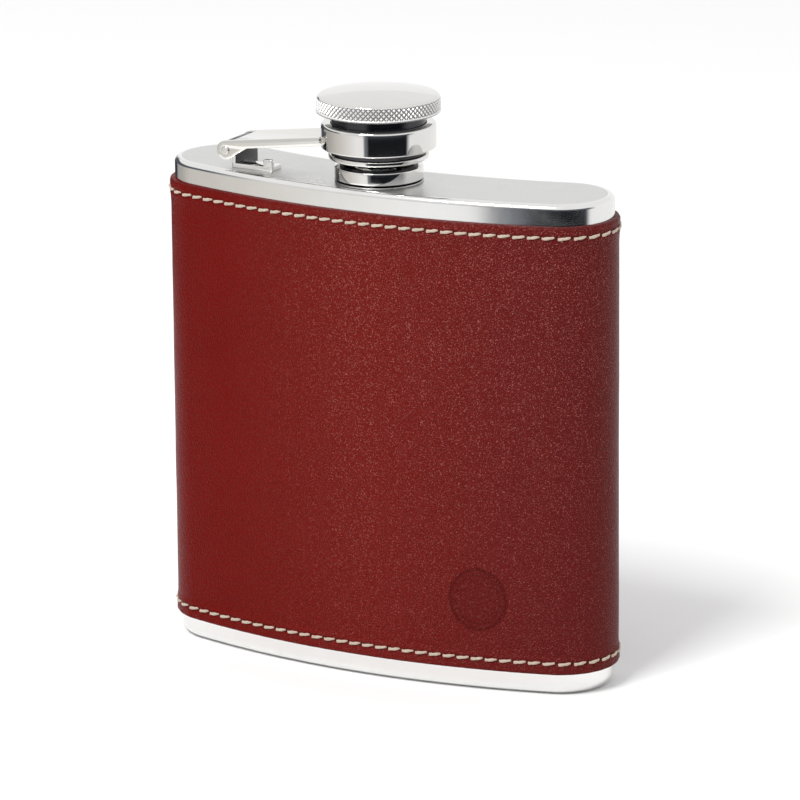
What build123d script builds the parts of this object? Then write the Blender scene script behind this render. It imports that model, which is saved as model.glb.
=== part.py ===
from build123d import *
import os
from math import atan2, degrees, hypot, sqrt

# A captive-top hip flask: kidney-section steel body, leather wrap, hinged arm, screw cap.
# Millimetres. +Z up, +X along the width away from the hinge, -Y is the convex front.

# Body section
half_width = 46.0
front_radius = 139.8
back_radius = 126.3
end_radius = 10.2
front_y = -12.6
wall = 0.7

# Heights
shell_bottom = 4.5
shell_top = 89.5
plate_top = 94.9
bottom_edge_radius = 2.2
top_edge_radius = 1.05
plate_wall = 0.8

# Leather wrap and its stitching
leather_gap = 0.03
leather_thickness = 0.97
leather_bottom = 4.25
leather_top = 90.85
upper_stitch_inset = 1.95
lower_stitch_inset = 2.3
stitch_pitch_aim = 2.9
stitch_size = (2.4, 0.5, 0.28)
seam_gap = 0.6
seam_stitch_inset = 2.2
seam_end_gap = 4.3

# Filler neck
neck_y = -2.28
neck_radius = 8.4
neck_spigot_radius = 7.6
neck_bore_radius = 5.6
neck_bottom = 92.4
neck_shoulder = 97.7
neck_taper_top = 98.7
neck_core_radius = 6.6
neck_lip = 103.8
neck_groove_z = 95.25
neck_groove = 0.45
neck_lip_radius = 0.3

# Screw thread, right-handed
thread_pitch = 1.0
thread_crest_radius = 7.2
thread_start = 99.8
thread_turns = 3
thread_clearance = 0.15
thread_root = 0.6
thread_tip = 0.24
thread_bury = 0.12

# Captive collar, sleeve, ring and knob
collar_radius = 10.86
collar_bottom = 101.25
collar_top = 106.05
collar_chamfer = 0.55
sleeve_radius = 8.95
sleeve_bore_radius = 7.45
sleeve_bottom = 99.2
running_clearance = 0.05
ring_radius = 9.5
ring_seat_radius = 8.5
ring_height = 1.0
ring_edge_radius = 0.25
washer_radius = 7.3
washer_height = 1.2
washer_gap = 0.03
knob_radius = 11.76
knob_bottom = 108.0
knob_rim_top = 111.2
knob_top = 112.2
knob_rim_radius = 1.0
knob_chamfer = 0.4
fit_gap = 0.02

# Hinge and arm
pin_x = -30.4
pin_z = 98.35
pin_radius = 0.8
pin_clearance = 0.06
pin_overhang = 0.25
pin_edge_radius = 0.2
knuckle_radius = 1.7
strap = 0.9
bracket_width = 8.3
bracket_end_x = -20.8
foot_width = 3.6
tongue_length = 2.0
tongue_height = 2.3
tongue_radius = 0.5
arm_width = 10.4
arm_sheet = 0.9
arm_slope = 7.4
arm_depth = 1.65
lug_radius = 1.85
lug_fairing = 4.8
web_start = 1.6
arm_end_gap = 0.3
tab_width = 7.6

os.makedirs("parts", exist_ok=True)

# Centres of the four arcs that make the kidney outline
end_x = half_width - end_radius
front_centre_y = front_y + front_radius
end_y = front_centre_y - sqrt((front_radius - end_radius) ** 2 - end_x ** 2)
back_centre_y = end_y + sqrt((back_radius + end_radius) ** 2 - end_x ** 2)


def kidney(grow):
    """Outline of the body, grown outwards."""
    reach = end_radius + grow
    front_len = hypot(end_x, end_y - front_centre_y)
    back_len = hypot(end_x, back_centre_y - end_y)
    front_x = end_x + reach * end_x / front_len
    front_tangent = end_y + reach * (end_y - front_centre_y) / front_len
    back_x = end_x - reach * end_x / back_len
    back_tangent = end_y + reach * (back_centre_y - end_y) / back_len
    with BuildLine() as line:
        ThreePointArc((-front_x, front_tangent), (0, front_y - grow), (front_x, front_tangent))
        ThreePointArc((front_x, front_tangent), (end_x + reach, end_y), (back_x, back_tangent))
        ThreePointArc((back_x, back_tangent), (0, back_centre_y - back_radius + grow),
                      (-back_x, back_tangent))
        ThreePointArc((-back_x, back_tangent), (-end_x - reach, end_y), (-front_x, front_tangent))
    return line.line


def kidney_face(grow):
    with BuildSketch() as sketch:
        with BuildLine():
            add(kidney(grow))
        make_face()
    return sketch.sketch


def save(solid, name):
    solid.label = name
    export_step(solid, "parts/" + name + ".step")


# Body shell: the drawn tube between the two end plates
with BuildPart() as body_shell:
    with BuildSketch(Plane.XY.offset(shell_bottom)):
        add(kidney_face(0))
        add(kidney_face(-wall), mode=Mode.SUBTRACT)
    extrude(amount=shell_top - shell_bottom)
save(body_shell.part, "body_shell")

# Bottom plate: a shallow pan welded under the shell
with BuildPart() as bottom_plate:
    with BuildSketch():
        add(kidney_face(0))
    extrude(amount=shell_bottom)
    fillet(bottom_plate.faces().sort_by(Axis.Z)[0].edges(), bottom_edge_radius)
    with BuildSketch(Plane.XY.offset(plate_wall)):
        add(kidney_face(-plate_wall))
    extrude(amount=shell_bottom, mode=Mode.SUBTRACT)
    floor_edges = bottom_plate.faces().filter_by(Axis.Z).sort_by(Axis.Z)[1].edges()
    fillet(floor_edges, bottom_edge_radius - plate_wall)
save(bottom_plate.part, "bottom_plate")

# Top plate: a pressed pan with a rounded edge round its flat top
with BuildPart() as top_plate:
    with BuildSketch(Plane.XY.offset(shell_top)):
        add(kidney_face(0))
    extrude(amount=plate_top - shell_top)
    fillet(top_plate.faces().sort_by(Axis.Z)[-1].edges(), top_edge_radius)
    with BuildSketch(Plane.XY.offset(shell_top)):
        add(kidney_face(-plate_wall))
    extrude(amount=plate_top - plate_wall - shell_top, mode=Mode.SUBTRACT)
    ceiling_edges = top_plate.faces().filter_by(Axis.Z).sort_by(Axis.Z)[1].edges()
    fillet(ceiling_edges, top_edge_radius - plate_wall)
    with BuildSketch(Plane.XY.offset(plate_top - plate_wall)):
        with Locations((0, neck_y)):
            Circle(neck_spigot_radius + fit_gap)
    extrude(amount=plate_wall, mode=Mode.SUBTRACT)
save(top_plate.part, "top_plate")


def thread_ridge(core_radius, tip_radius, start, turns):
    """One helical ridge whose root is buried a little in its core."""
    outward = 1 if tip_radius > core_radius else -1
    root_radius = core_radius - outward * thread_bury
    with BuildPart() as ridge:
        with BuildLine():
            path = Helix(thread_pitch, thread_pitch * turns, root_radius, center=(0, neck_y, start))
        with BuildSketch(Plane(path @ 0, x_dir=(1, 0, 0), z_dir=path % 0)):
            with BuildLine():
                Polyline((0, -thread_root / 2), (outward * abs(tip_radius - root_radius), -thread_tip / 2),
                         (outward * abs(tip_radius - root_radius), thread_tip / 2),
                         (0, thread_root / 2), close=True)
            make_face()
        sweep(path=path, is_frenet=True)
    return ridge.part


# Filler neck: turned tube with a shoulder, a decorative groove, a taper and a male thread
neck_ridge = thread_ridge(neck_core_radius, thread_crest_radius, thread_start, thread_turns)
with BuildPart() as filler_neck:
    with BuildSketch(Plane.XZ.offset(-neck_y)):
        with BuildLine():
            Polyline(
                (neck_bore_radius, neck_bottom), (neck_spigot_radius, neck_bottom),
                (neck_spigot_radius, plate_top), (neck_radius, plate_top),
                (neck_radius, neck_groove_z - neck_groove / 2),
                (neck_radius - neck_groove, neck_groove_z),
                (neck_radius, neck_groove_z + neck_groove / 2),
                (neck_radius, neck_shoulder), (neck_core_radius, neck_taper_top),
                (neck_core_radius, neck_lip), (neck_bore_radius, neck_lip), close=True)
        make_face()
    revolve(axis=Axis((0, neck_y, 0), (0, 0, 1)))
    fillet(filler_neck.faces().sort_by(Axis.Z)[-1].edges(), neck_lip_radius)
    add(neck_ridge)
save(filler_neck.part, "filler_neck")

# Hinge bracket: a cross wall with a knuckle round the pin, a foot and an upturned tongue in front
wall_x = pin_x + knuckle_radius
foot_y = neck_y - bracket_width / 2
with BuildPart() as hinge_bracket:
    with BuildSketch(Plane.XZ.offset(-neck_y)):
        with Locations((pin_x, pin_z)):
            Circle(knuckle_radius)
        with Locations((wall_x, plate_top)):
            Rectangle(strap, pin_z - plate_top, align=(Align.MAX, Align.MIN))
        with Locations((pin_x, pin_z)):
            Circle(pin_radius + pin_clearance, mode=Mode.SUBTRACT)
    extrude(amount=bracket_width / 2, both=True)
    with BuildSketch(Plane.XY.offset(plate_top)):
        with Locations((wall_x - strap, foot_y)):
            Rectangle(bracket_end_x - wall_x + strap, foot_width, align=(Align.MIN, Align.MIN))
    extrude(amount=strap)
    with BuildSketch(Plane.XY.offset(plate_top)):
        with Locations((bracket_end_x, foot_y)):
            Rectangle(tongue_length, strap, align=(Align.MAX, Align.MIN))
    extrude(amount=tongue_height)
    tongue_top = hinge_bracket.faces().filter_by(Axis.Z).sort_by(Axis.X)[-1]
    fillet(tongue_top.edges().filter_by(Axis.Y), tongue_radius)
save(hinge_bracket.part, "hinge_bracket")

# Cap arm: a shallow channel with two lugs on the pin and a tab brazed to the collar
arm_plane = Plane((pin_x, neck_y, pin_z), x_dir=(1, 0, 0), z_dir=(0, -1, 0)).rotated((0, -arm_slope, 0))
web_top = lug_radius
web_bottom = web_top - arm_depth
collar_height = collar_top - collar_bottom
with BuildPart() as cap_arm:
    with BuildSketch(arm_plane):
        Circle(lug_radius)
        with BuildLine():
            Polyline((0, web_top), (-pin_x, web_top), (-pin_x, web_bottom),
                     (lug_fairing, web_bottom), (0, -lug_radius), close=True)
        make_face()
    extrude(amount=arm_width / 2, both=True)
    with BuildSketch(arm_plane):
        with Locations((0, web_top - arm_sheet)):
            Rectangle(-2 * pin_x, arm_width, align=(Align.CENTER, Align.MAX))
        with Locations((web_start, 0)):
            Rectangle(arm_width, arm_width, align=(Align.MAX, Align.CENTER))
    extrude(amount=arm_width / 2 - arm_sheet, both=True, mode=Mode.SUBTRACT)
    with BuildSketch(Plane.XY.offset(collar_bottom - collar_height)):
        with Locations((0, neck_y)):
            Circle(collar_radius + arm_end_gap)
    extrude(amount=2 * collar_height, mode=Mode.SUBTRACT)
    with BuildSketch(arm_plane):
        with Locations((-pin_x, web_top)):
            Rectangle(collar_radius + arm_sheet, arm_depth, align=(Align.MAX, Align.MAX))
    extrude(amount=tab_width / 2, both=True)
    with BuildSketch(Plane.XY.offset(collar_bottom - collar_height)):
        with Locations((0, neck_y)):
            Circle(collar_radius + fit_gap)
    extrude(amount=2 * collar_height, mode=Mode.SUBTRACT)
    with BuildSketch(arm_plane):
        Circle(pin_radius)
    extrude(amount=arm_width, both=True, mode=Mode.SUBTRACT)
save(cap_arm.part, "cap_arm")

# Hinge pin: held in the arm's two lugs and turning in the bracket's knuckle
with BuildPart() as hinge_pin:
    with BuildSketch(Plane.XZ.offset(-neck_y)):
        with Locations((pin_x, pin_z)):
            Circle(pin_radius)
    extrude(amount=arm_width / 2 + pin_overhang, both=True)
    fillet(hinge_pin.edges().filter_by(GeomType.CIRCLE), pin_edge_radius)
save(hinge_pin.part, "hinge_pin")

# Captive collar: the ring on the arm that the cap turns in
with BuildPart() as captive_collar:
    with BuildSketch(Plane.XY.offset(collar_bottom)):
        with Locations((0, neck_y)):
            Circle(collar_radius)
            Circle(sleeve_radius + running_clearance, mode=Mode.SUBTRACT)
    extrude(amount=collar_height)
    chamfer(captive_collar.faces().sort_by(Axis.Z)[-1].edges(), collar_chamfer)
    chamfer(captive_collar.faces().sort_by(Axis.Z)[0].edges().sort_by(SortBy.LENGTH)[-1], collar_chamfer / 2)
save(captive_collar.part, "captive_collar")

# Cap sleeve: runs in the collar and carries the female thread
female_root_radius = sleeve_bore_radius
female_tip_radius = neck_core_radius + thread_clearance
female_start = thread_start + thread_pitch / 2
sleeve_ridge = thread_ridge(female_root_radius, female_tip_radius, female_start, thread_turns)
with BuildPart() as cap_sleeve:
    with BuildSketch(Plane.XZ.offset(-neck_y)):
        with BuildLine():
            Polyline(
                (sleeve_bore_radius, sleeve_bottom), (ring_seat_radius, sleeve_bottom),
                (ring_seat_radius, sleeve_bottom + ring_height),
                (sleeve_radius, sleeve_bottom + ring_height),
                (sleeve_radius, knob_bottom), (sleeve_bore_radius, knob_bottom), close=True)
        make_face()
    revolve(axis=Axis((0, neck_y, 0), (0, 0, 1)))
    add(sleeve_ridge)
save(cap_sleeve.part, "cap_sleeve")

# Retaining ring: sprung on the sleeve's foot, it keeps the cap in the collar
with BuildPart() as retaining_ring:
    with BuildSketch(Plane.XY.offset(sleeve_bottom)):
        with Locations((0, neck_y)):
            Circle(ring_radius)
            Circle(ring_seat_radius + running_clearance, mode=Mode.SUBTRACT)
    extrude(amount=ring_height - running_clearance)
    fillet(retaining_ring.edges().sort_by(SortBy.LENGTH)[-2:], ring_edge_radius)
save(retaining_ring.part, "retaining_ring")

# Sealing washer: lies in the top of the sleeve and bears on the neck's lip
washer_bottom = neck_lip + washer_gap
with BuildPart() as sealing_washer:
    with BuildSketch(Plane.XY.offset(washer_bottom)):
        with Locations((0, neck_y)):
            Circle(washer_radius)
    extrude(amount=washer_height)
save(sealing_washer.part, "sealing_washer")

# Cap knob: a domed, knurled disc with a spigot that closes the sleeve
dome_height = knob_top - knob_rim_top
dome_radius = (knob_radius ** 2 + dome_height ** 2) / (2 * dome_height)
spigot_radius = sleeve_bore_radius - fit_gap
spigot_bottom = washer_bottom + washer_height
with BuildPart() as cap_knob:
    with BuildSketch(Plane.XZ.offset(-neck_y)):
        with BuildLine():
            Polyline(
                (0, knob_top), (0, spigot_bottom), (spigot_radius, spigot_bottom),
                (spigot_radius, knob_bottom), (knob_radius - knob_chamfer, knob_bottom),
                (knob_radius, knob_bottom + knob_chamfer), (knob_radius, knob_rim_top))
            RadiusArc((knob_radius, knob_rim_top), (0, knob_top), -dome_radius)
        make_face()
    revolve(axis=Axis((0, neck_y, 0), (0, 0, 1)))
    fillet(cap_knob.edges().sort_by_distance((-knob_radius, neck_y, knob_rim_top))[0], knob_rim_radius)
save(cap_knob.part, "cap_knob")

# Leather wrap: one sheet glued round the steel, its two ends meeting behind
leather_inner = leather_gap
leather_outer = leather_gap + leather_thickness
with BuildPart() as leather_wrap:
    with BuildSketch(Plane.XY.offset(leather_bottom)):
        add(kidney_face(leather_outer))
        add(kidney_face(leather_inner), mode=Mode.SUBTRACT)
        with Locations((0, back_centre_y - back_radius)):
            Rectangle(seam_gap, 4 * leather_outer, mode=Mode.SUBTRACT)
    extrude(amount=leather_top - leather_bottom)
save(leather_wrap.part, "leather_wrap")


def stitch_row(height):
    """Threads lying along the wrap at one height, evenly spaced all the way round."""
    path = Wire(kidney(leather_outer + stitch_size[2] / 2 + fit_gap).edges())
    count = round(path.length / stitch_pitch_aim)
    places = []
    for index in range(count):
        share = (index + 0.5) / count
        spot = path.position_at(share)
        along = path.tangent_at(share)
        places.append(Location((spot.X, spot.Y, height), (0, 0, degrees(atan2(along.Y, along.X)))))
    with BuildPart() as row:
        with Locations(*places):
            Box(stitch_size[0], stitch_size[2], stitch_size[1])
    return row.part


save(stitch_row(leather_top - upper_stitch_inset), "upper_stitching")
save(stitch_row(leather_bottom + lower_stitch_inset), "lower_stitching")

# Back seam: a column of stitches down each side of the join
seam_height = leather_top - leather_bottom - 2 * seam_end_gap
seam_count = round(seam_height / stitch_pitch_aim)
seam_y = back_centre_y - back_radius + leather_outer + stitch_size[2] / 2 + 2 * fit_gap
with BuildPart() as back_seam_stitching:
    with Locations(Plane((0, seam_y, (leather_top + leather_bottom) / 2), x_dir=(1, 0, 0), z_dir=(0, -1, 0))):
        with GridLocations(2 * seam_stitch_inset, seam_height / seam_count, 2, seam_count):
            Box(stitch_size[1], stitch_size[0], stitch_size[2])
save(back_seam_stitching.part, "back_seam_stitching")
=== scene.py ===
# A leather-wrapped hip flask with a hinged captive cap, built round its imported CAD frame.
# Metres. +Z up, -Y is the convex front, the hinge is towards -X.
from math import atan2, cos, exp, floor, hypot, pi, radians, sin, sqrt

import bmesh
import bpy
from mathutils import Matrix, Vector, noise


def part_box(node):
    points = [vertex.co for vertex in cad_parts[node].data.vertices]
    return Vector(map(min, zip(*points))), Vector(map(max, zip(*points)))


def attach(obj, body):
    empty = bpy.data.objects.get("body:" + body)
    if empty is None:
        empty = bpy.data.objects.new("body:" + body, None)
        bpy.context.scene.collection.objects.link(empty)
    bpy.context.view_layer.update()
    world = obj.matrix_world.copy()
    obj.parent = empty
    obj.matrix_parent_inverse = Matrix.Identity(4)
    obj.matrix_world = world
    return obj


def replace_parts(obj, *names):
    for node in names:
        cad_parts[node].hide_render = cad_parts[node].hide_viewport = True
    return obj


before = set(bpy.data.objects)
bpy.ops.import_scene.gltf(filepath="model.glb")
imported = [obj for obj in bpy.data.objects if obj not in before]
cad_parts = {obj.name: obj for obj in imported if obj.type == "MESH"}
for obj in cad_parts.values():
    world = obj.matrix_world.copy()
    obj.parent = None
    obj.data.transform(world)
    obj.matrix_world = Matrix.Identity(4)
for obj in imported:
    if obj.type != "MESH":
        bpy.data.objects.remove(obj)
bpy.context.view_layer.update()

MM = 0.001

# The kidney outline: three radii, with its extents taken from the steel shell
shell_low, shell_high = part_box("body_shell")
half_width = shell_high.x
front_y = shell_low.y
front_radius = 139.8 * MM
back_radius = 126.3 * MM
end_radius = 10.2 * MM
end_x = half_width - end_radius
front_centre = Vector((0, front_y + front_radius))
end_y = front_centre.y - sqrt((front_radius - end_radius) ** 2 - end_x ** 2)
back_centre = Vector((0, end_y + sqrt((back_radius + end_radius) ** 2 - end_x ** 2)))

# Places of the main parts, from the frame
neck_low, neck_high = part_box("filler_neck")
axis_y = (neck_low.y + neck_high.y) / 2
pan_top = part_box("top_plate")[1].z
wrap_low, wrap_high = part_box("leather_wrap")
wrap_out = wrap_high.x - half_width


# ---------------------------------------------------------------- outline and mesh helpers

def outline_span():
    """The four arcs as (centre, radius, start angle, turn, outward sign), from the back's middle."""
    left, right = Vector((-end_x, end_y)), Vector((end_x, end_y))
    half_front = atan2(end_x, front_centre.y - end_y)
    half_back = atan2(end_x, back_centre.y - end_y)
    bend = pi - half_front + half_back
    return [
        (back_centre, back_radius, -pi / 2, -half_back, -1),
        (left, end_radius, pi / 2 - half_back, bend, 1),
        (front_centre, front_radius, -pi / 2 - half_front, 2 * half_front, 1),
        (right, end_radius, -pi / 2 + half_front, bend, 1),
        (back_centre, back_radius, -pi / 2 + half_back, -half_back, -1),
    ]


SPANS = outline_span()
OUTLINE_LENGTH = sum(radius * abs(turn) for _, radius, _, turn, _ in SPANS)


def outline_at(share):
    """Point and outward normal of the steel outline at a share of its length."""
    run = (share % 1.0) * OUTLINE_LENGTH
    for centre, radius, start, turn, outward in SPANS:
        length = radius * abs(turn)
        if run <= length:
            break
        run -= length
    angle = start + turn * min(run / length, 1.0)
    ray = Vector((cos(angle), sin(angle)))
    return centre + ray * radius, ray * outward


def rounded(points, radii, steps=5):
    """A 2D polyline with each inner corner turned into an arc of its radius."""
    path = [Vector(points[0])]
    for before, corner, after, radius in zip(points, points[1:], points[2:], radii):
        before, corner, after = Vector(before), Vector(corner), Vector(after)
        one, two = (before - corner).normalized(), (after - corner).normalized()
        if radius <= 0:
            path.append(corner)
            continue
        half = one.angle(two) / 2
        reach = radius / max(1e-9, abs(sin(half) / cos(half)))
        centre = corner + (one + two).normalized() * (radius / sin(half))
        begin, end = corner + one * reach - centre, corner + two * reach - centre
        for step in range(steps + 1):
            ray = begin.lerp(end, step / steps).normalized()
            path.append(centre + ray * radius)
    path.append(Vector(points[-1]))
    return path


def mesh_object(name, vertices, faces, sharp=None, smooth=True):
    """An object from points and faces, smooth up to the sharp angle in degrees."""
    mesh = bpy.data.meshes.new(name)
    mesh.from_pydata([tuple(v) for v in vertices], [], faces)
    mesh.validate()
    mesh.update()
    mesh.polygons.foreach_set("use_smooth", [smooth] * len(mesh.polygons))
    if sharp is not None:
        mesh.set_sharp_from_angle(angle=radians(sharp))
    piece = bpy.data.objects.new(name, mesh)
    bpy.context.scene.collection.objects.link(piece)
    return piece


def grid_faces(rows, columns, close_rows, close_columns):
    """Quads of a grid of rows x columns points, each direction open or closed."""
    faces = []
    for r in range(rows if close_rows else rows - 1):
        for c in range(columns if close_columns else columns - 1):
            r2, c2 = (r + 1) % rows, (c + 1) % columns
            faces.append((r * columns + c, r * columns + c2, r2 * columns + c2, r2 * columns + c))
    return faces


def lathe(name, profile, columns=160, shift=None, sharp=40, capped=False):
    """Turns a (radius, z) profile about the neck's axis; shift(angle, r, z) moves the radius.
    The profile closes on itself, or with capped its two ends close on the axis."""
    points = []
    for r, z in profile:
        for c in range(columns):
            angle = 2 * pi * c / columns
            reach = r + (shift(angle, r, z) if shift else 0)
            points.append((reach * cos(angle), axis_y + reach * sin(angle), z))
    faces = grid_faces(len(profile), columns, not capped, True)
    if capped:
        faces.append(tuple(range(columns))[::-1])
        faces.append(tuple(range(len(points) - columns, len(points))))
    return mesh_object(name, points, faces, sharp)


def offset_rings(profile, shares):
    """Points of the outline grown by each (offset, z) of the profile, ring by ring."""
    base = [outline_at(share) for share in shares]
    points = []
    for grow, z in profile:
        for spot, normal in base:
            place = spot + normal * grow
            points.append((place.x, place.y, z))
    return points


def softened(name, node, bevel, sharp=35):
    """A copy of a CAD node's own shape with its hard edges eased, standing for that node."""
    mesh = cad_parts[node].data.copy()
    mesh.name = name
    piece = bpy.data.objects.new(name, mesh)
    bpy.context.scene.collection.objects.link(piece)
    work = bmesh.new()
    work.from_mesh(mesh)
    bmesh.ops.remove_doubles(work, verts=work.verts, dist=0.002 * MM)
    bmesh.ops.dissolve_limit(work, angle_limit=radians(0.5), verts=work.verts, edges=work.edges)
    hard = [edge for edge in work.edges
            if len(edge.link_faces) == 2 and edge.calc_face_angle() > radians(sharp)]
    bmesh.ops.bevel(work, geom=hard, offset=bevel, segments=3, profile=0.5, affect="EDGES",
                    clamp_overlap=True)
    work.to_mesh(mesh)
    work.free()
    mesh.materials.clear()
    mesh.polygons.foreach_set("use_smooth", [True] * len(mesh.polygons))
    mesh.set_sharp_from_angle(angle=radians(sharp))
    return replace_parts(piece, node)


def smoothstep(low, high, value):
    """0 below low, 1 above high, and a smooth rise between them."""
    t = min(1.0, max(0.0, (value - low) / (high - low)))
    return t * t * (3 - 2 * t)


def bump_at(distance, width):
    """A bell of height 1 round a distance of 0."""
    return exp(-(distance / width) ** 2)


# ---------------------------------------------------------------- materials

def new_material(name):
    """A material with its nodes, links and main shader."""
    material = bpy.data.materials.new(name)
    material.use_nodes = True
    nodes = material.node_tree.nodes
    return material, nodes, material.node_tree.links, nodes["Principled BSDF"]


def add_node(nodes, kind, **values):
    """A node with its inputs set by name."""
    node = nodes.new(kind)
    for key, value in values.items():
        node.inputs[key].default_value = value
    return node


def object_noise(nodes, links, scale, detail=3.0, stretch=(1, 1, 1)):
    """Noise in the object's own space; stretch squeezes it along an axis."""
    place = nodes.new("ShaderNodeTexCoord")
    mapping = nodes.new("ShaderNodeMapping")
    mapping.inputs["Scale"].default_value = stretch
    pattern = add_node(nodes, "ShaderNodeTexNoise", Scale=scale, Detail=detail)
    links.new(place.outputs["Object"], mapping.inputs["Vector"])
    links.new(mapping.outputs["Vector"], pattern.inputs["Vector"])
    return pattern.outputs["Fac"]


def remap(nodes, links, value, low, high, from_low=0.3, from_high=0.7):
    """A value scaled and clamped from one range to another."""
    scaled = nodes.new("ShaderNodeMapRange")
    scaled.inputs["From Min"].default_value = from_low
    scaled.inputs["From Max"].default_value = from_high
    scaled.inputs["To Min"].default_value = low
    scaled.inputs["To Max"].default_value = high
    links.new(value, scaled.inputs["Value"])
    return scaled.outputs["Result"]


def mask(nodes, links, first, second):
    """One factor times another."""
    product = nodes.new("ShaderNodeMath")
    product.operation = "MULTIPLY"
    links.new(first, product.inputs[0])
    links.new(second, product.inputs[1])
    return product.outputs["Value"]


def mix_colour(nodes, links, factor, first, second):
    """A blend of two colours, each a tuple or a socket."""
    mixer = nodes.new("ShaderNodeMix")
    mixer.data_type = "RGBA"
    links.new(factor, mixer.inputs["Factor"])
    for socket, value in (("A", first), ("B", second)):
        target = [i for i in mixer.inputs if i.name == socket and i.type == "RGBA"][0]
        if isinstance(value, tuple):
            target.default_value = (*value, 1)
        else:
            links.new(value, target)
    return [o for o in mixer.outputs if o.type == "RGBA"][0]


def add_bump(nodes, links, height, strength, distance, below=None):
    """A bump on top of the normal below."""
    bump = add_node(nodes, "ShaderNodeBump", Strength=strength, Distance=distance)
    links.new(height, bump.inputs["Height"])
    if below is not None:
        links.new(below, bump.inputs["Normal"])
    return bump.outputs["Normal"]


def steel(name, tint, rough, brush=(1, 1, 1), brush_scale=900, brush_depth=0.002, pits=False):
    """Stainless steel with uneven roughness, hairlines along the brush direction and faint waviness.
    With pits set, a mesh attribute paints shade into the bottoms of a knurl and under the knob."""
    material, nodes, links, shader = new_material(name)
    shader.inputs["Metallic"].default_value = 0.6 if pits else 1.0
    wear = object_noise(nodes, links, 260, 4)
    darker = tuple(channel * 0.93 for channel in tint)
    tone = mix_colour(nodes, links, wear, darker, tint)
    if pits:
        # Painted shade: the knurl's grooves and the knob's underside are darkened in colour.
        pit_shade = nodes.new("ShaderNodeAttribute")
        pit_shade.attribute_name = "pit_shade"
        tone = mix_colour(nodes, links, pit_shade.outputs["Fac"], tone, (0.10, 0.10, 0.11))
    links.new(tone, shader.inputs["Base Color"])
    links.new(remap(nodes, links, wear, rough[0], rough[1]), shader.inputs["Roughness"])
    hairline = object_noise(nodes, links, brush_scale, 2, brush)
    wave = object_noise(nodes, links, 90, 1)
    waved = add_bump(nodes, links, wave, 0.25, 0.03 * MM)
    links.new(add_bump(nodes, links, hairline, 0.5, brush_depth * MM, waved), shader.inputs["Normal"])
    return material


def leather(name):
    """Fine pebbled leather: rounded grain cells, pores and cloudy dye, with a painted sheen and painted
    glints towards the right and the top where the key light catches it, and painted shade towards the right
    end that turns from the light.
    """
    material, nodes, links, shader = new_material(name)
    place = nodes.new("ShaderNodeTexCoord")
    cells = add_node(nodes, "ShaderNodeTexVoronoi", Scale=2900)
    cells.feature = "SMOOTH_F1"
    cells.inputs["Smoothness"].default_value = 0.6
    links.new(place.outputs["Object"], cells.inputs["Vector"])
    pebbles = remap(nodes, links, cells.outputs["Distance"], 1.0, 0.0, 0.05, 0.6)
    cloud = object_noise(nodes, links, 70, 4)
    fine = object_noise(nodes, links, 3200, 3)
    across = nodes.new("ShaderNodeSeparateXYZ")
    links.new(place.outputs["Object"], across.inputs["Vector"])
    # Painted sheen: lighter, greyer leather from a little left of the middle to the right end, where the
    # key light's gloss falls.
    sheen_side = remap(nodes, links, across.outputs["X"], 0.0, 1.0, -30 * MM, 0.0)
    higher = remap(nodes, links, across.outputs["Z"], 0.5, 1.0, 10 * MM, 85 * MM)
    dye = mix_colour(nodes, links, cloud, (0.106, 0.0022, 0.0010), (0.136, 0.0030, 0.0014))
    sheened = mix_colour(nodes, links, sheen_side, dye, (0.124, 0.0066, 0.0046))
    # Painted shade: darker towards the right end, which turns away from the key light.
    shaded_side = remap(nodes, links, across.outputs["X"], 0.0, 1.0, 5 * MM, 40 * MM)
    deep = mix_colour(nodes, links, shaded_side, sheened, (0.092, 0.0068, 0.0062))
    # Painted glints: light specks towards the right and the top, where the key light sparkles on the grain.
    glint_specks = remap(nodes, links, object_noise(nodes, links, 4300, 1), 0.0, 0.8, 0.56, 0.74)
    painted_glints = mask(nodes, links, mask(nodes, links, glint_specks, sheen_side), higher)
    glinted = mix_colour(nodes, links, painted_glints, deep, (0.32, 0.110, 0.094))
    # Darker where the mesh's pressed mark is high: pressed leather in the cartouche and stitch rows, and
    # painted shade in the stitch channels and at the hem edges.
    pressed = nodes.new("ShaderNodeAttribute")
    pressed.attribute_name = "pressed"
    pressed_and_shaded = mix_colour(nodes, links, pressed.outputs["Fac"], glinted, (0.050, 0.0030, 0.0030))
    links.new(pressed_and_shaded, shader.inputs["Base Color"])
    links.new(remap(nodes, links, fine, 0.26, 0.40), shader.inputs["Roughness"])
    shader.inputs["Specular IOR Level"].default_value = 0.05
    grain = add_bump(nodes, links, pebbles, 1.0, 0.16 * MM)
    links.new(add_bump(nodes, links, fine, 0.6, 0.08 * MM, grain), shader.inputs["Normal"])
    return material


def thread(name):
    """Waxed thread: cream with soiled fibres."""
    material, nodes, links, shader = new_material(name)
    fibre = object_noise(nodes, links, 5200, 3)
    patch = object_noise(nodes, links, 500, 2)
    tone = mix_colour(nodes, links, patch, (0.46, 0.375, 0.29), (0.60, 0.50, 0.40))
    links.new(mix_colour(nodes, links, fibre, (0.30, 0.23, 0.17), tone), shader.inputs["Base Color"])
    links.new(remap(nodes, links, fibre, 0.55, 0.75), shader.inputs["Roughness"])
    shader.inputs["Sheen Weight"].default_value = 0.2
    links.new(add_bump(nodes, links, fibre, 0.4, 0.03 * MM), shader.inputs["Normal"])
    return material


def silicone(name):
    """Milky seal rubber."""
    material, nodes, links, shader = new_material(name)
    mottle = object_noise(nodes, links, 700, 3)
    links.new(mix_colour(nodes, links, mottle, (0.66, 0.64, 0.59), (0.76, 0.75, 0.70)),
              shader.inputs["Base Color"])
    links.new(remap(nodes, links, mottle, 0.45, 0.6), shader.inputs["Roughness"])
    shader.inputs["Subsurface Weight"].default_value = 0.1
    shader.inputs["Subsurface Scale"].default_value = 0.5 * MM
    links.new(add_bump(nodes, links, mottle, 0.2, 0.03 * MM), shader.inputs["Normal"])
    return material


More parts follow.
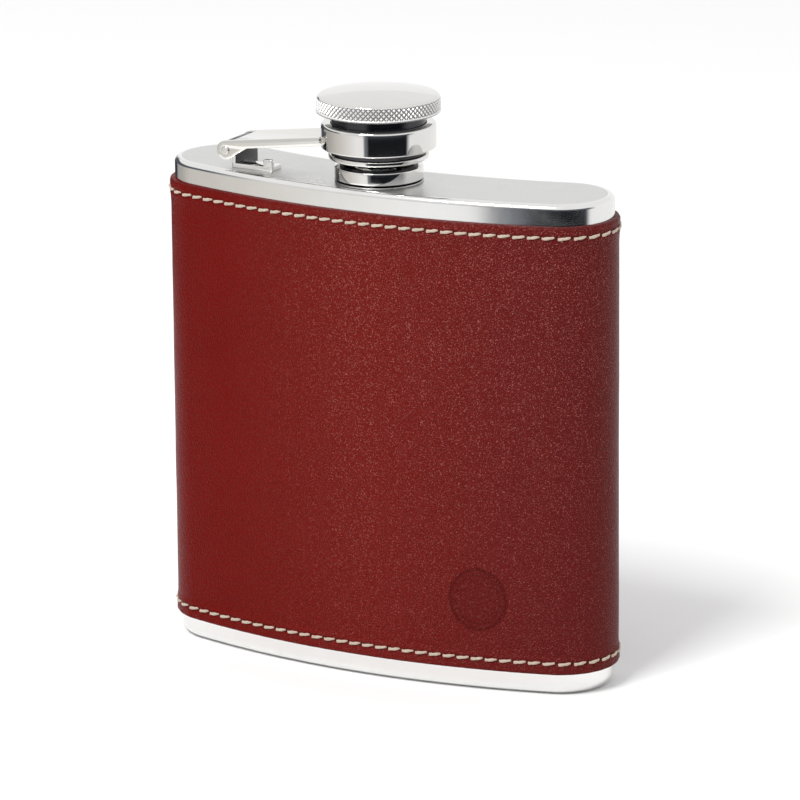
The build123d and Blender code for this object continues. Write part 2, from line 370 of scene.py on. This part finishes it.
STEEL_TINT = (0.80, 0.79, 0.77)
polished = steel("polished_steel", STEEL_TINT, (0.035, 0.075))
knurled = steel("knurled_steel", (0.84, 0.83, 0.815), (0.32, 0.42), pits=True)
# Near-black steel standing for the shade in the gap under the knob, in the neck's groove and on the
# bracket's cross wall: painted shade.
shade_steel = steel("painted_shade_steel", (0.06, 0.06, 0.065), (0.14, 0.22), brush=(0.05, 0.05, 3))
formed = steel("formed_steel", (0.76, 0.745, 0.71), (0.05, 0.10), brush=(0.1, 1, 1))
turned = steel("turned_steel", STEEL_TINT, (0.05, 0.10), brush=(0.05, 0.05, 3), brush_scale=1600)
pressed = steel("pressed_steel", (0.86, 0.855, 0.84), (0.11, 0.17), brush=(0.1, 0.1, 2), brush_depth=0.004)
satin = steel("satin_steel", (0.665, 0.665, 0.655), (0.26, 0.34), brush=(0.05, 2, 2), brush_depth=0.01)
drawn = steel("drawn_steel", (0.60, 0.60, 0.59), (0.32, 0.45), brush=(2, 2, 0.05), brush_depth=0.01)
red_leather = leather("red_leather")
cream_thread = thread("cream_thread")
seal = silicone("seal")


def finish_piece(piece, body, slot, *materials):
    """Gives a piece its materials and the body it rides. The slot argument is not used."""
    for material in materials:
        piece.data.materials.append(material)
    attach(piece, body)
    return piece


# ---------------------------------------------------------------- steel body

OUTLINE_COLUMNS = 640
HOLE_COLUMNS = 160
SHEET = 0.8 * MM


def filled_face(work, loops):
    """Fills a flat region bounded by vertex loops, outer first."""
    edges = []
    for loop in loops:
        for one, two in zip(loop, loop[1:] + loop[:1]):
            edge = work.edges.get((one, two))
            edges.append(edge if edge else work.edges.new((one, two)))
    return bmesh.ops.triangle_fill(work, edges=edges, use_beauty=True, use_dissolve=False)["geom"]


def pan(name, profile, hole=None):
    """A closed pressed pan: its profile runs from the edge of its outer flat to that of its inner one."""
    rings = offset_rings(profile, [column / OUTLINE_COLUMNS for column in range(OUTLINE_COLUMNS)])
    work = bmesh.new()
    points = [work.verts.new(p) for p in rings]
    for face in grid_faces(len(profile), OUTLINE_COLUMNS, False, True):
        work.faces.new([points[i] for i in face])
    holes = []
    for loop in (points[:OUTLINE_COLUMNS], points[-OUTLINE_COLUMNS:]):
        z = loop[0].co.z
        rim = []
        if hole:
            for step in range(HOLE_COLUMNS):
                angle = 2 * pi * step / HOLE_COLUMNS
                rim.append(work.verts.new((hole * cos(angle), axis_y + hole * sin(angle), z)))
            holes.append(rim)
        filled = filled_face(work, [loop, rim] if hole else [loop])
        for face in filled:
            if isinstance(face, bmesh.types.BMFace):
                face.material_index = 1
    if hole:
        outside, inside = holes
        for step in range(HOLE_COLUMNS):
            after = (step + 1) % HOLE_COLUMNS
            work.faces.new((outside[step], outside[after], inside[after], inside[step]))
    bmesh.ops.recalc_face_normals(work, faces=work.faces)
    mesh = bpy.data.meshes.new(name)
    work.to_mesh(mesh)
    work.free()
    mesh.polygons.foreach_set("use_smooth", [True] * len(mesh.polygons))
    mesh.set_sharp_from_angle(angle=radians(28))
    piece = bpy.data.objects.new(name, mesh)
    bpy.context.scene.collection.objects.link(piece)
    return piece


def make_top_plate():
    """The upper pan: a satin flat inside a rounded polished edge."""
    low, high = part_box("top_plate")
    edge, spigot_hole = 1.05 * MM, 7.62 * MM
    border = edge + 0.25 * MM
    outer = rounded([(-border, high.z), (0, high.z), (0, low.z)], [edge], 12)
    inner = rounded([(0, low.z), (-SHEET, low.z), (-SHEET, high.z - SHEET), (-border, high.z - SHEET)],
                    [0, edge - SHEET], 6)
    piece = pan("top_plate_shell", outer + inner[1:], hole=spigot_hole)
    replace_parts(piece, "top_plate")
    return finish_piece(piece, "flask", "satin_steel", pressed, satin)


def make_bottom_plate():
    """The pan that the flask stands on."""
    low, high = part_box("bottom_plate")
    edge = 2.2 * MM
    foot = high.x - half_width
    border = edge + 0.4 * MM
    outer = rounded([(-border, low.z), (foot, low.z), (foot, high.z)], [edge], 12)
    inner = rounded([(foot, high.z), (-SHEET, high.z), (-SHEET, low.z + SHEET), (-border, low.z + SHEET)],
                    [0, edge - SHEET], 6)
    piece = pan("bottom_plate_shell", outer + inner[1:])
    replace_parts(piece, "bottom_plate")
    return finish_piece(piece, "flask", "polished_steel", pressed, pressed)


# ---------------------------------------------------------------- neck and cap

THREAD_PITCH = 1.0 * MM
THREAD_TURNS = 3
THREAD_START = 99.8 * MM
THREAD_ROOT = 0.6 * MM
THREAD_TIP = 0.24 * MM


def helix_height(angle, z, start):
    """0 to 1: how far the thread ridge stands up at this angle and height."""
    best = 0.0
    for turn in range(-1, THREAD_TURNS + 1):
        along = angle / (2 * pi) + turn
        if not 0 <= along <= THREAD_TURNS:
            continue
        away = abs(z - start - THREAD_PITCH * along)
        rise = (THREAD_ROOT / 2 - away) / (THREAD_ROOT / 2 - THREAD_TIP / 2)
        ends = min(along, THREAD_TURNS - along)
        best = max(best, min(1.0, max(0.0, rise)) * min(1.0, ends / 0.12))
    return best


def threaded_wall(radius, low, high, step=0.055 * MM):
    """A straight profile with points close enough to carry a thread or a knurl."""
    count = max(2, int((high - low) / step))
    return [(radius, low + (high - low) * index / count) for index in range(count + 1)]


def make_neck():
    """The turned neck: spigot, grooved shoulder, taper, thread and lip."""
    low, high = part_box("filler_neck")
    outside = high.x
    spigot, bore, core, crest = 7.6 * MM, 5.6 * MM, 6.6 * MM, 7.2 * MM
    shoulder, taper_top = 97.7 * MM, 98.7 * MM
    groove_z, groove, groove_depth = 95.25 * MM, 0.22 * MM, 0.45 * MM
    foot = rounded([(bore, low.z), (spigot, low.z), (spigot, pan_top), (outside, pan_top),
                    (outside, groove_z - groove), (outside - groove_depth, groove_z),
                    (outside, groove_z + groove), (outside, shoulder), (core, taper_top)],
                   [0.1 * MM, 0, 0.05 * MM, 0.05 * MM, 0.05 * MM, 0.05 * MM, 0.25 * MM], 4)
    wall = threaded_wall(core, taper_top, high.z - 0.35 * MM)
    lip = rounded([(core, high.z - 0.35 * MM), (core, high.z), (bore, high.z), (bore, high.z - 1 * MM)],
                  [0.3 * MM, 0.3 * MM], 5)

    def ridge(angle, r, z):
        if abs(r - core) > 0.001 * MM or z < taper_top:
            return 0
        return (crest - core) * helix_height(angle, z, THREAD_START)

    piece = lathe("neck_turned", foot + wall[1:] + lip[1:], shift=ridge)
    # The groove's faces take the near-black steel: painted shade down in the groove.
    for face in piece.data.polygons:
        reach = (face.center.xy - Vector((0, axis_y))).length
        sunk = abs(face.center.z - groove_z) < groove and spigot < reach < outside - 0.01 * MM
        face.material_index = 1 if sunk else 0
    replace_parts(piece, "filler_neck")
    return finish_piece(piece, "flask", "polished_steel", turned, shade_steel)


def make_collar():
    """The ring on the arm that the cap turns in."""
    low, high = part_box("captive_collar")
    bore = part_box("cap_sleeve")[1].x + 0.05 * MM
    profile = rounded([(bore, (low.z + high.z) / 2), (bore, low.z), (high.x, low.z), (high.x, high.z),
                       (bore, high.z), (bore, (low.z + high.z) / 2 + 0.1 * MM)],
                      [0.15 * MM, 0.3 * MM, 0.6 * MM, 0.3 * MM], 7)
    piece = lathe("collar_ring", profile, 192)
    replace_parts(piece, "captive_collar")
    return finish_piece(piece, "arm", "polished_steel", polished)


def make_retaining_ring():
    """The narrow ring under the collar."""
    low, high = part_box("retaining_ring")
    seat = 8.55 * MM
    middle = (low.z + high.z) / 2
    profile = rounded([(seat, middle), (seat, low.z), (high.x, low.z), (high.x, high.z), (seat, high.z),
                       (seat, middle + 0.05 * MM)],
                      [0.08 * MM, 0.35 * MM, 0.2 * MM, 0.08 * MM], 6)
    piece = lathe("ring_turned", profile, 192)
    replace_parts(piece, "retaining_ring")
    return finish_piece(piece, "lift", "polished_steel", polished)


def make_sleeve():
    """The cap's stem between knob and collar, painted near-black as the shade of that gap, with the female
    thread inside.
    """
    low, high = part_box("cap_sleeve")
    bore, seat, tip = 7.45 * MM, 8.5 * MM, 6.75 * MM
    step_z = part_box("retaining_ring")[1].z + 0.05 * MM
    washer_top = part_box("sealing_washer")[1].z
    outer = rounded([(bore, low.z), (seat, low.z), (seat, step_z), (high.x, step_z), (high.x, high.z),
                     (bore, high.z), (bore, washer_top)],
                    [0.15 * MM, 0.05 * MM, 0.1 * MM, 0.05 * MM, 0.05 * MM], 4)
    wall = threaded_wall(bore, low.z + 0.2 * MM, washer_top - 0.2 * MM)[::-1]

    def ridge(angle, r, z):
        if abs(r - bore) > 0.001 * MM or z > washer_top - 0.15 * MM:
            return 0
        return (tip - bore) * helix_height(angle, z, THREAD_START + THREAD_PITCH / 2)

    piece = lathe("sleeve_turned", outer + wall, shift=ridge)
    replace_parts(piece, "cap_sleeve")
    return finish_piece(piece, "cap", "polished_steel", shade_steel)


KNURL_COUNT = 74
KNURL_DEPTH = 0.45 * MM


def make_knob():
    """The knob: diamond knurl round its wall, shallow dome on top."""
    low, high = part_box("cap_knob")
    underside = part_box("cap_sleeve")[1].z
    radius = high.x
    spigot = 7.43 * MM
    rim, rim_top = 1.0 * MM, high.z - 1.0 * MM
    knurl_low, knurl_high = underside + 0.4 * MM, rim_top - 0.3 * MM
    pitch = 2 * pi * radius / KNURL_COUNT

    def triangle(value):
        return 1 - abs(2 * (value - floor(value)) - 1)

    def knurl(angle, r, z):
        if r < radius - rim or not knurl_low < z < knurl_high:
            return 0
        around, rise = KNURL_COUNT * angle / (2 * pi), (z - knurl_low) / pitch
        peak = min(triangle(around + rise), triangle(around - rise))
        fade = smoothstep(0, 0.2 * MM, z - knurl_low) * smoothstep(0, 0.25 * MM, knurl_high - z)
        return -KNURL_DEPTH * (1 - min(1.0, peak * 1.1)) * fade

    under = rounded([(5 * MM, low.z), (spigot, low.z), (spigot, underside), (radius, underside),
                     (radius, knurl_low)], [0.2 * MM, 0.1 * MM, 0.35 * MM], 5)
    arc_start = rim_top + 0.1 * MM - rim
    band = threaded_wall(radius, knurl_low, arc_start, 0.075 * MM)
    corner, corner_turn, corner_steps = [], radians(84), 14
    for step in range(1, corner_steps + 1):
        angle = corner_turn * step / corner_steps
        corner.append((radius - rim + rim * cos(angle), arc_start + rim * sin(angle)))
    dome, dome_steps, dome_end = [], 26, 0.1 * MM
    last_r, last_z = corner[-1]
    for step in range(1, dome_steps + 1):
        reach = last_r * (1 - step / dome_steps) + dome_end * step / dome_steps
        dome.append((reach, last_z + (high.z - last_z) * (1 - (reach / last_r) ** 2)))
    profile, columns = under + band[1:] + corner + dome, KNURL_COUNT * 8
    piece = lathe("knob_knurled", profile, columns, knurl, 60, True)
    # Painted shade for the knurl's grooves and the knob's underside, read by the knurled steel.
    pits = []
    for r, z in profile:
        base = 0.75 if z < underside + 0.3 * MM else 0.0
        for column in range(columns):
            sunk = -knurl(2 * pi * column / columns, r, z) / KNURL_DEPTH
            pits.append(base + 0.9 * smoothstep(0.42, 0.9, sunk))
    piece.data.attributes.new("pit_shade", "FLOAT", "POINT").data.foreach_set("value", pits)
    for face in piece.data.polygons:
        face.material_index = 1 if face.center.z > knurl_high else 0
    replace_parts(piece, "cap_knob")
    return finish_piece(piece, "cap", "polished_steel", knurled, polished)


def make_bracket():
    """The folded strap: its cross wall is painted near-black as the shade under the arm, its foot and
    tongue are bright.
    """
    piece = softened("hinge_strap", "hinge_bracket", 0.12 * MM)
    wall_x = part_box("hinge_bracket")[0].x + 3.5 * MM
    # The cross wall's faces take the near-black steel: painted shade.
    for face in piece.data.polygons:
        face.material_index = 1 if face.center.x < wall_x else 0
    finish_piece(piece, "flask", "polished_steel", polished, shade_steel)


# ---------------------------------------------------------------- leather and stitching

ROW_LENGTH = OUTLINE_LENGTH + 2 * pi * (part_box("upper_stitching")[1].x - half_width)
STITCHES = round(ROW_LENGTH / (2.9 * MM))
UPPER_ROW = sum(corner.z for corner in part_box("upper_stitching")) / 2
LOWER_ROW = sum(corner.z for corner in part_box("lower_stitching")) / 2
EMBLEM = (25.2 * MM, 18 * MM)
EMBLEM_SIZE = (5.4 * MM, 5.9 * MM)
SEAM_HALF = 0.04 * MM
HEM_STEP = 0.16 * MM
CHANNEL_DEPTH = 0.10 * MM
HOLE_DEPTH = 0.24 * MM
EDGE_RADIUS = 0.55 * MM
JOIN_RADIUS = 0.45 * MM
GLUE_GAP = 0.03 * MM


def wrap_columns():
    """Shares of the outline for the wrap's columns: eight to a stitch, more at the emblem and the join."""
    gap = SEAM_HALF / OUTLINE_LENGTH
    shares = [gap + (1 - 2 * gap) * index / (STITCHES * 8) for index in range(STITCHES * 8 + 1)]
    extra = [gap + offset * MM / OUTLINE_LENGTH for offset in (0.05, 0.12, 0.22, 0.35, 0.5, 0.7)]
    extra += [1 - share for share in extra]
    near = [share for share in shares if 0.5 < share < 0.8
            and abs(outline_at(share)[0].x - EMBLEM[0]) < EMBLEM_SIZE[0] * 1.15]
    extra += [(one + two) / 2 for one, two in zip(near, near[1:])]
    return sorted(set(shares + extra))


def wrap_rows():
    """Heights of the wrap's rows: fine at the hems and the emblem, wider between."""
    height = wrap_high.z - wrap_low.z
    rows = [0.0]
    while rows[-1] < height:
        up = rows[-1]
        edge = min(up, height - up)
        step = 0.07 if edge < 0.5 * MM else 0.18 if edge < 4.4 * MM else 1.6
        if abs(wrap_low.z + up - EMBLEM[1]) < EMBLEM_SIZE[1] * 1.2 + 1.6 * MM:
            step = 0.2
        rows.append(up + step * MM)
    rows[-1] = height
    return [wrap_low.z + up for up in rows]


def emblem_at(x, z):
    """Depth of the plain pressed cartouche, and how dark it is, at a point of the front."""
    across = hypot((x - EMBLEM[0]) / EMBLEM_SIZE[0], (z - EMBLEM[1]) / EMBLEM_SIZE[1])
    if across > 1.3:
        return 0.0, 0.0
    border = bump_at(across - 1, 0.055)
    inner = bump_at(across - 0.8, 0.035)
    inside = 1 - smoothstep(0.92, 1.04, across)
    return (0.16 * border + 0.07 * inner + 0.05 * inside) * MM, 0.55 * border + 0.25 * inner + 0.25 * inside


def wrap_surface(share, spot, z):
    """How far the leather's face stands from the steel at a point, and how much darker it is: pressed
    leather, and painted shade in the stitch channels and at the hem edges.
    """
    edge = min(z - wrap_low.z, wrap_high.z - z)
    join = min(share, 1 - share) * OUTLINE_LENGTH - SEAM_HALF
    row = min(abs(z - UPPER_ROW), abs(z - LOWER_ROW))
    face = wrap_out - HEM_STEP * smoothstep(2.9 * MM, 3.8 * MM, edge)
    beat = cos(2 * pi * share * STITCHES)
    face -= CHANNEL_DEPTH * bump_at(row, 0.5 * MM)
    face -= HOLE_DEPTH * bump_at(row, 0.35 * MM) * smoothstep(0.55, 1.0, beat)
    face += 0.035 * MM * beat * bump_at(edge - 0.6 * MM, 0.8 * MM)
    here = Vector((spot.x, spot.y, z))
    face += (0.05 * noise.noise(here * 75) + 0.018 * noise.noise(here * 260)) * MM
    # Darker along the stitch rows and at the hem edges: the leather is pressed there, and this darkening
    # also stands for painted shade in the stitch channel and at the rounded edges.
    dark = 0.5 * bump_at(row, 0.3 * MM) + 0.4 * (1 - smoothstep(0.1 * MM, 0.6 * MM, edge))
    if spot.y < 0:
        deep, shade = emblem_at(spot.x, z)
        face -= deep
        dark += shade
    face = min(face, wrap_out + 0.04 * MM)
    for away, radius in ((edge, EDGE_RADIUS), (join, JOIN_RADIUS)):
        if away < radius:
            face -= radius - sqrt(max(0.0, radius ** 2 - (radius - away) ** 2))
    return max(face, 0.12 * MM), min(1.0, dark)


def make_wrap():
    """The leather, worked on its face and plain where it lies on the steel."""
    columns, rows = wrap_columns(), wrap_rows()
    base = [outline_at(share) for share in columns]
    points, darks = [], []
    for z in rows:
        for share, (spot, normal) in zip(columns, base):
            reach, dark = wrap_surface(share, spot, z)
            place = spot + normal * reach
            points.append((place.x, place.y, z))
            darks.append(dark)
    for z in (rows[-1], rows[len(rows) // 2], rows[0]):
        for spot, normal in base:
            place = spot + normal * GLUE_GAP
            points.append((place.x, place.y, z))
            darks.append(0.0)
    total, width = len(rows) + 3, len(columns)
    faces = grid_faces(total, width, True, False)
    faces.append(tuple(row * width for row in range(total)))
    faces.append(tuple(row * width + width - 1 for row in range(total))[::-1])
    piece = mesh_object("leather_cover", points, faces, 55)
    # The pressed mark carries both the pressed leather's darkening and the painted shade in the channels
    # and at the hems.
    mark = piece.data.attributes.new("pressed", "FLOAT", "POINT")
    mark.data.foreach_set("value", darks)
    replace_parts(piece, "leather_wrap")
    return finish_piece(piece, "flask", "red_leather", red_leather)


SEAM_STITCHES = 27
STITCH_LENGTH = 2.42 * MM
STITCH_RISE = 0.42 * MM
STITCH_SINK = 0.36 * MM
STITCH_SLANT = 0.34 * MM
STITCH_RINGS = 15
STITCH_SIDES = 12
THREAD_RADIUS = 0.31 * MM
UP = Vector((0, 0, 1))


def stitch(points, faces, place, along, across, outward, seed):
    """One stitch: two twisted plies that rise from one hole and dive into the next."""
    first = len(points)
    wander = noise.noise(Vector((seed * 0.73, 1.7, 0)))
    for ring in range(STITCH_RINGS):
        t = ring / (STITCH_RINGS - 1)
        centre = place + along * ((t - 0.5) * STITCH_LENGTH)
        centre += outward * (STITCH_RISE * sin(pi * t) ** 0.4 - STITCH_SINK)
        centre += across * ((STITCH_SLANT + 0.06 * MM * wander) * (t - 0.5) + 0.05 * MM * wander)
        size = THREAD_RADIUS - 0.10 * MM * smoothstep(0.6, 1.0, t)
        for side in range(STITCH_SIDES):
            angle = 2 * pi * side / STITCH_SIDES
            ply = abs(cos(angle - 5.5 * t - seed)) ** 0.7
            reach = size * (0.68 + 0.36 * ply)
            points.append(centre + across * (reach * cos(angle)) + outward * (0.8 * reach * sin(angle)))
    last = len(points) - STITCH_SIDES
    for ring in range(STITCH_RINGS - 1):
        for side in range(STITCH_SIDES):
            one = first + ring * STITCH_SIDES + side
            two = first + ring * STITCH_SIDES + (side + 1) % STITCH_SIDES
            faces.append((one, two, two + STITCH_SIDES, one + STITCH_SIDES))
    faces.append(tuple(first + side for side in range(STITCH_SIDES))[::-1])
    faces.append(tuple(last + side for side in range(STITCH_SIDES)))


def make_stitches(name, node, spots):
    """One object with a stitch at each spot, in place of a CAD node."""
    points, faces = [], []
    for seed, (place, along, across, outward) in enumerate(spots):
        stitch(points, faces, place, along, across, outward, seed)
    piece = mesh_object(name, points, faces, 80)
    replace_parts(piece, node)
    return finish_piece(piece, "flask", "cream_thread", cream_thread)


def hem_spots(z):
    """Place and directions of each stitch of the row at one height."""
    spots = []
    for index in range(STITCHES):
        spot, normal = outline_at((index + 0.5) / STITCHES)
        outward = Vector((normal.x, normal.y, 0))
        place = Vector((spot.x, spot.y, z)) + outward * (wrap_out + 0.02 * MM)
        spots.append((place, UP.cross(outward), UP, outward))
    return spots


def seam_spots():
    """Place and directions of each stitch of the two columns beside the back join."""
    low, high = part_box("back_seam_stitching")
    spots = []
    for side in (low.x + 0.25 * MM, high.x - 0.25 * MM):
        share = 1 - side / OUTLINE_LENGTH if side > 0 else -side / OUTLINE_LENGTH
        spot, normal = outline_at(share)
        outward = Vector((normal.x, normal.y, 0))
        for index in range(SEAM_STITCHES):
            z = low.z + (high.z - low.z) * (index + 0.5) / SEAM_STITCHES
            place = Vector((spot.x, spot.y, z)) + outward * (wrap_out - 0.3 * MM)
            spots.append((place, UP, outward.cross(UP), outward))
    return spots


# ---------------------------------------------------------------- assembly

make_top_plate()
make_bottom_plate()
make_neck()
make_collar()
make_retaining_ring()
make_sleeve()
make_knob()
finish_piece(softened("arm_channel", "cap_arm", 0.14 * MM), "arm", "polished_steel", formed)
make_bracket()
finish_piece(softened("pin_turned", "hinge_pin", 0.02 * MM), "arm", "polished_steel", turned)
for node, material in (("body_shell", drawn), ("sealing_washer", seal)):
    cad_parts[node].data.materials.clear()
    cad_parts[node].data.materials.append(material)

wrap = make_wrap()
threads = [
    make_stitches("hem_thread_upper", "upper_stitching", hem_spots(UPPER_ROW)),
    make_stitches("hem_thread_lower", "lower_stitching", hem_spots(LOWER_ROW)),
    make_stitches("seam_thread", "back_seam_stitching", seam_spots()),
]


# ---------------------------------------------------------------- studio

def make_floor():
    """The white paper that the flask stands on."""
    half, z = 6, -0.04 * MM
    corners = [(-half, -half, z), (half, -half, z), (half, half, z), (-half, half, z)]
    piece = mesh_object("studio_floor", corners, [(0, 1, 2, 3)], smooth=False)
    material, _, _, shader = new_material("floor_paper")
    shader.inputs["Base Color"].default_value = (0.82, 0.82, 0.82, 1)
    shader.inputs["Roughness"].default_value = 0.8
    shader.inputs["Specular IOR Level"].default_value = 0.1
    piece.data.materials.append(material)


def make_key(place, target, size, power):
    """A square soft light above the front."""
    data = bpy.data.lights.new("key", "AREA")
    data.size = size
    data.energy = power
    lamp = bpy.data.objects.new("key", data)
    lamp.location = place
    lamp.rotation_euler = (Vector(target) - Vector(place)).to_track_quat("-Z", "Y").to_euler()
    bpy.context.scene.collection.objects.link(lamp)


# Brightness that polished steel sees round the horizon and above it, 0 degrees facing the front
HORIZON = ((-180, 1.0), (-142, 1.0), (-136, 0.03), (-112, 0.03), (-106, 0.40), (-86, 0.47), (-53, 0.72),
           (-33, 0.86), (-15, 1.0), (-2, 1.0), (1, 0.22), (7, 0.12), (9, 0.012), (84, 0.012), (92, 0.95),
           (180, 1.0))
OVERHEAD = ((-180, 1.0), (-135, 1.0), (-125, 0.1), (-60, 0.1), (-48, 0.75), (-4, 0.75), (6, 0.1), (90, 0.1),
            (105, 1.0), (180, 1.0))


def between(stops, azimuth):
    """The value at an azimuth between (azimuth, value) stops."""
    for (one, first), (two, second) in zip(stops, stops[1:]):
        if one <= azimuth <= two:
            return first + (second - first) * (azimuth - one) / (two - one)


def horizon_glow(azimuth, z):
    """Colour of the ring at an azimuth and a height: warmer at the left, cooler where it is dark."""
    above = smoothstep(55 * MM, 75 * MM, z)
    level = between(HORIZON, azimuth) * (1 - above) + between(OVERHEAD, azimuth) * above
    warm = smoothstep(10, 60, -azimuth) * (1 - above)
    cool = 1 - smoothstep(0.0, 0.5, level)
    return level * (1 - 0.1 * cool), level * (1 - 0.04 * warm), level * (1 - 0.10 * warm + 0.2 * cool), 1


def make_reflected_ring():
    """A glowing ring that only polished surfaces see."""
    columns, radius = 240, 300 * MM
    heights = [z * MM for z in (-0.02, 30, 55, 60, 65, 70, 75, 150, 190)]
    points, glows = [], []
    for z in heights:
        for column in range(columns):
            azimuth = 360 * column / columns - 180
            angle = radians(azimuth)
            points.append((radius * sin(angle), -radius * cos(angle), z))
            glows.append(horizon_glow(azimuth, z))
    piece = mesh_object("reflected_ring", points, grid_faces(len(heights), columns, False, True))
    glow = piece.data.attributes.new("glow", "FLOAT_COLOR", "POINT")
    glow.data.foreach_set("color", [channel for colour in glows for channel in colour])
    material = bpy.data.materials.new("ring_glow")
    material.use_nodes = True
    nodes, links = material.node_tree.nodes, material.node_tree.links
    nodes.clear()
    source = nodes.new("ShaderNodeAttribute")
    source.attribute_name = "glow"
    emitter = nodes.new("ShaderNodeEmission")
    output = nodes.new("ShaderNodeOutputMaterial")
    links.new(source.outputs["Color"], emitter.inputs["Color"])
    links.new(emitter.outputs["Emission"], output.inputs["Surface"])
    piece.data.materials.append(material)
    piece.visible_camera = piece.visible_diffuse = piece.visible_shadow = False


make_floor()
make_reflected_ring()
make_key((-0.09, -0.73, 1.09), (0, 0, 0.05), 0.4, 12.5)

world = bpy.data.worlds.new("studio")
bpy.context.scene.world = world
world.use_nodes = True
world.node_tree.nodes["Background"].inputs["Color"].default_value = (1, 1, 1, 1)
world.node_tree.nodes["Background"].inputs["Strength"].default_value = 0.93

bpy.context.scene.view_settings.view_transform = "Standard"

# Camera: turned 28.9 degrees round to the right of the front, 15.2 degrees up and rolled by half a degree
swing, rise, roll = radians(28.88), radians(15.21), -0.008
aim, distance = Vector((0, 0.55 * MM, 50 * MM)), 1.151675
back = Vector((sin(swing) * cos(rise), -cos(swing) * cos(rise), sin(rise)))
right = Vector((cos(swing), sin(swing), 0))
up = back.cross(right)
right, up = right * cos(roll) + up * sin(roll), up * cos(roll) - right * sin(roll)
eye = aim + back * distance + right * 2.23 * MM + up * 1.085 * MM
lens = bpy.data.cameras.new("camera")
lens.sensor_width = 36
lens.lens = 272.1
lens.clip_start = 0.05
lens.clip_end = 50
camera = bpy.data.objects.new("camera", lens)
camera.matrix_world = Matrix((
    (right.x, up.x, back.x, eye.x),
    (right.y, up.y, back.y, eye.y),
    (right.z, up.z, back.z, eye.z),
    (0, 0, 0, 1),
))
bpy.context.scene.collection.objects.link(camera)
bpy.context.scene.camera = camera
